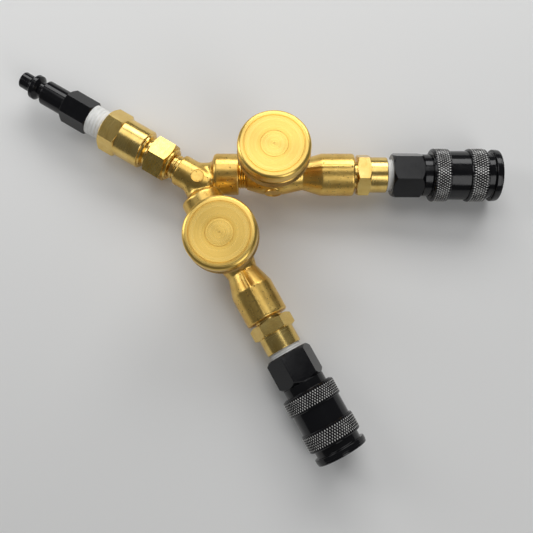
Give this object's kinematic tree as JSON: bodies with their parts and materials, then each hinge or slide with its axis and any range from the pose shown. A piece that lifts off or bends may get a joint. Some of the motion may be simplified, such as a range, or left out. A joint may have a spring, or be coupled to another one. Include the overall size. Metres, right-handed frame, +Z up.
{
  "type": "gas hose y fitting",
  "caption": "Brass Y fitting that splits one hose line to valved outlets with knurled shut-off knobs, quick couplers and a plug inlet.",
  "frame": {"origin": "middle of the inlet plug's collar, on its axis", "axes": "+X along the inlet from the plug to the hub, between the outlets; +Z up through the valve knobs"},
  "size_m": [0.2218, 0.1662, 0.0479],
  "materials": {
    "forged_brass": "as-forged, satin with small pits",
    "turned_brass": "turned, bright",
    "knob_brass": "face turned, rim knurled",
    "black_steel": "glossy black oxide",
    "bright_steel": "bright",
    "ptfe_tape": "matt white tape",
    "packing": "plain",
    "seal_rubber": "matt"
  },
  "bodies": {
    "fitting": {"y_body": "forged_brass", "inlet_plug": "black_steel", "inlet_thread_tape": "ptfe_tape", "inlet_adapter": "turned_brass", "inlet_union_nut": "turned_brass", "inlet_nipple": "turned_brass", "valve_body_a": "forged_brass", "gland_washer_a": "turned_brass", "stem_packing_a": "packing", "packing_nut_a": "turned_brass", "outlet_adapter_a": "turned_brass", "outlet_thread_tape_a": "ptfe_tape", "coupler_barrel_a": "black_steel", "sleeve_spring_a": "bright_steel", "retaining_ring_a": "bright_steel", "seal_ring_a": "seal_rubber", "poppet_spring_a": "bright_steel", "coupler_tail_a": "black_steel", "valve_body_b": "forged_brass", "gland_washer_b": "turned_brass", "stem_packing_b": "packing", "packing_nut_b": "turned_brass", "outlet_adapter_b": "turned_brass", "outlet_thread_tape_b": "ptfe_tape", "coupler_barrel_b": "black_steel", "sleeve_spring_b": "bright_steel", "retaining_ring_b": "bright_steel", "seal_ring_b": "seal_rubber", "poppet_spring_b": "bright_steel", "coupler_tail_b": "black_steel"},
    "valve_ball_a": {"valve_ball_a": "bright_steel"},
    "stem_and_knob_a": {"valve_stem_a": "turned_brass", "knob_a": "knob_brass"},
    "sleeve_a": {"coupler_sleeve_a": "black_steel"},
    "poppet_a": {"poppet_a": "turned_brass"},
    "locking_ball_a1": {"locking_ball_a1": "bright_steel"},
    "locking_ball_a2": {"locking_ball_a2": "bright_steel"},
    "locking_ball_a3": {"locking_ball_a3": "bright_steel"},
    "locking_ball_a4": {"locking_ball_a4": "bright_steel"},
    "valve_ball_b": {"valve_ball_b": "bright_steel"},
    "stem_and_knob_b": {"valve_stem_b": "turned_brass", "knob_b": "knob_brass"},
    "sleeve_b": {"coupler_sleeve_b": "black_steel"},
    "poppet_b": {"poppet_b": "turned_brass"},
    "locking_ball_b1": {"locking_ball_b1": "bright_steel"},
    "locking_ball_b2": {"locking_ball_b2": "bright_steel"},
    "locking_ball_b3": {"locking_ball_b3": "bright_steel"},
    "locking_ball_b4": {"locking_ball_b4": "bright_steel"}
  },
  "joints": [
    {"name": "stem_lift_a", "type": "slide", "parent": "fitting", "child": "valve_ball_a", "axis": [-0.0354, 0.0601, 0.9976], "range_m": [0, 0.00375]},
    {"name": "knob_turn_a", "type": "hinge", "parent": "valve_ball_a", "child": "stem_and_knob_a", "pos_m": [0.10604, 0.02152, 0.02354], "axis": [-0.0354, 0.0601, 0.9976], "range_deg": [0, 1080]},
    {"name": "sleeve_pull_a", "type": "slide", "parent": "fitting", "child": "sleeve_a", "axis": [-0.8616, -0.5075, 0], "range_m": [0, 0.0037], "stiffness_N_per_m": 1200, "springref_m": -0.004, "deforming": ["sleeve_spring_a"]},
    {"name": "locking_ball_a1_release", "type": "slide", "parent": "fitting", "child": "locking_ball_a1", "axis": [0.333, -0.5653, 0.7547], "range_m": [0, 0.000651]},
    {"name": "locking_ball_a2_release", "type": "slide", "parent": "fitting", "child": "locking_ball_a2", "axis": [0.383, -0.6503, -0.6561], "range_m": [0, 0.000651]},
    {"name": "locking_ball_a3_release", "type": "slide", "parent": "fitting", "child": "locking_ball_a3", "axis": [-0.333, 0.5653, -0.7547], "range_m": [0, 0.000651]},
    {"name": "locking_ball_a4_release", "type": "slide", "parent": "fitting", "child": "locking_ball_a4", "axis": [-0.383, 0.6503, 0.6561], "range_m": [0, 0.000651]},
    {"name": "poppet_push_a", "type": "slide", "parent": "fitting", "child": "poppet_a", "axis": [-0.8616, -0.5075, 0], "range_m": [0, 0.003], "stiffness_N_per_m": 600, "springref_m": -0.003, "deforming": ["poppet_spring_a"]},
    {"name": "stem_lift_b", "type": "slide", "parent": "fitting", "child": "valve_ball_b", "axis": [-0.0354, -0.0601, 0.9976], "range_m": [0, 0.00375]},
    {"name": "knob_turn_b", "type": "hinge", "parent": "valve_ball_b", "child": "stem_and_knob_b", "pos_m": [0.10604, -0.02152, 0.02354], "axis": [-0.0354, -0.0601, 0.9976], "range_deg": [0, 1080]},
    {"name": "sleeve_pull_b", "type": "slide", "parent": "fitting", "child": "sleeve_b", "axis": [-0.8616, 0.5075, 0], "range_m": [0, 0.0037], "stiffness_N_per_m": 1200, "springref_m": -0.004, "deforming": ["sleeve_spring_b"]},
    {"name": "locking_ball_b1_release", "type": "slide", "parent": "fitting", "child": "locking_ball_b1", "axis": [-0.383, -0.6503, 0.6561], "range_m": [0, 0.000651]},
    {"name": "locking_ball_b2_release", "type": "slide", "parent": "fitting", "child": "locking_ball_b2", "axis": [-0.333, -0.5653, -0.7547], "range_m": [0, 0.000651]},
    {"name": "locking_ball_b3_release", "type": "slide", "parent": "fitting", "child": "locking_ball_b3", "axis": [0.383, 0.6503, -0.6561], "range_m": [0, 0.000651]},
    {"name": "locking_ball_b4_release", "type": "slide", "parent": "fitting", "child": "locking_ball_b4", "axis": [0.333, 0.5653, 0.7547], "range_m": [0, 0.000651]},
    {"name": "poppet_push_b", "type": "slide", "parent": "fitting", "child": "poppet_b", "axis": [-0.8616, 0.5075, 0], "range_m": [0, 0.003], "stiffness_N_per_m": 600, "springref_m": -0.003, "deforming": ["poppet_spring_b"]}
  ],
  "couplings": [
    {"joint": "knob_turn_a", "follows": "stem_lift_a", "rad_per_m": 5026.5},
    {"joint": "locking_ball_a1_release", "follows": "sleeve_pull_a", "ratio": 0.17568},
    {"joint": "locking_ball_a2_release", "follows": "sleeve_pull_a", "ratio": 0.17568},
    {"joint": "locking_ball_a3_release", "follows": "sleeve_pull_a", "ratio": 0.17568},
    {"joint": "locking_ball_a4_release", "follows": "sleeve_pull_a", "ratio": 0.17568},
    {"joint": "knob_turn_b", "follows": "stem_lift_b", "rad_per_m": 5026.5},
    {"joint": "locking_ball_b1_release", "follows": "sleeve_pull_b", "ratio": 0.17568},
    {"joint": "locking_ball_b2_release", "follows": "sleeve_pull_b", "ratio": 0.17568},
    {"joint": "locking_ball_b3_release", "follows": "sleeve_pull_b", "ratio": 0.17568},
    {"joint": "locking_ball_b4_release", "follows": "sleeve_pull_b", "ratio": 0.17568}
  ]
}
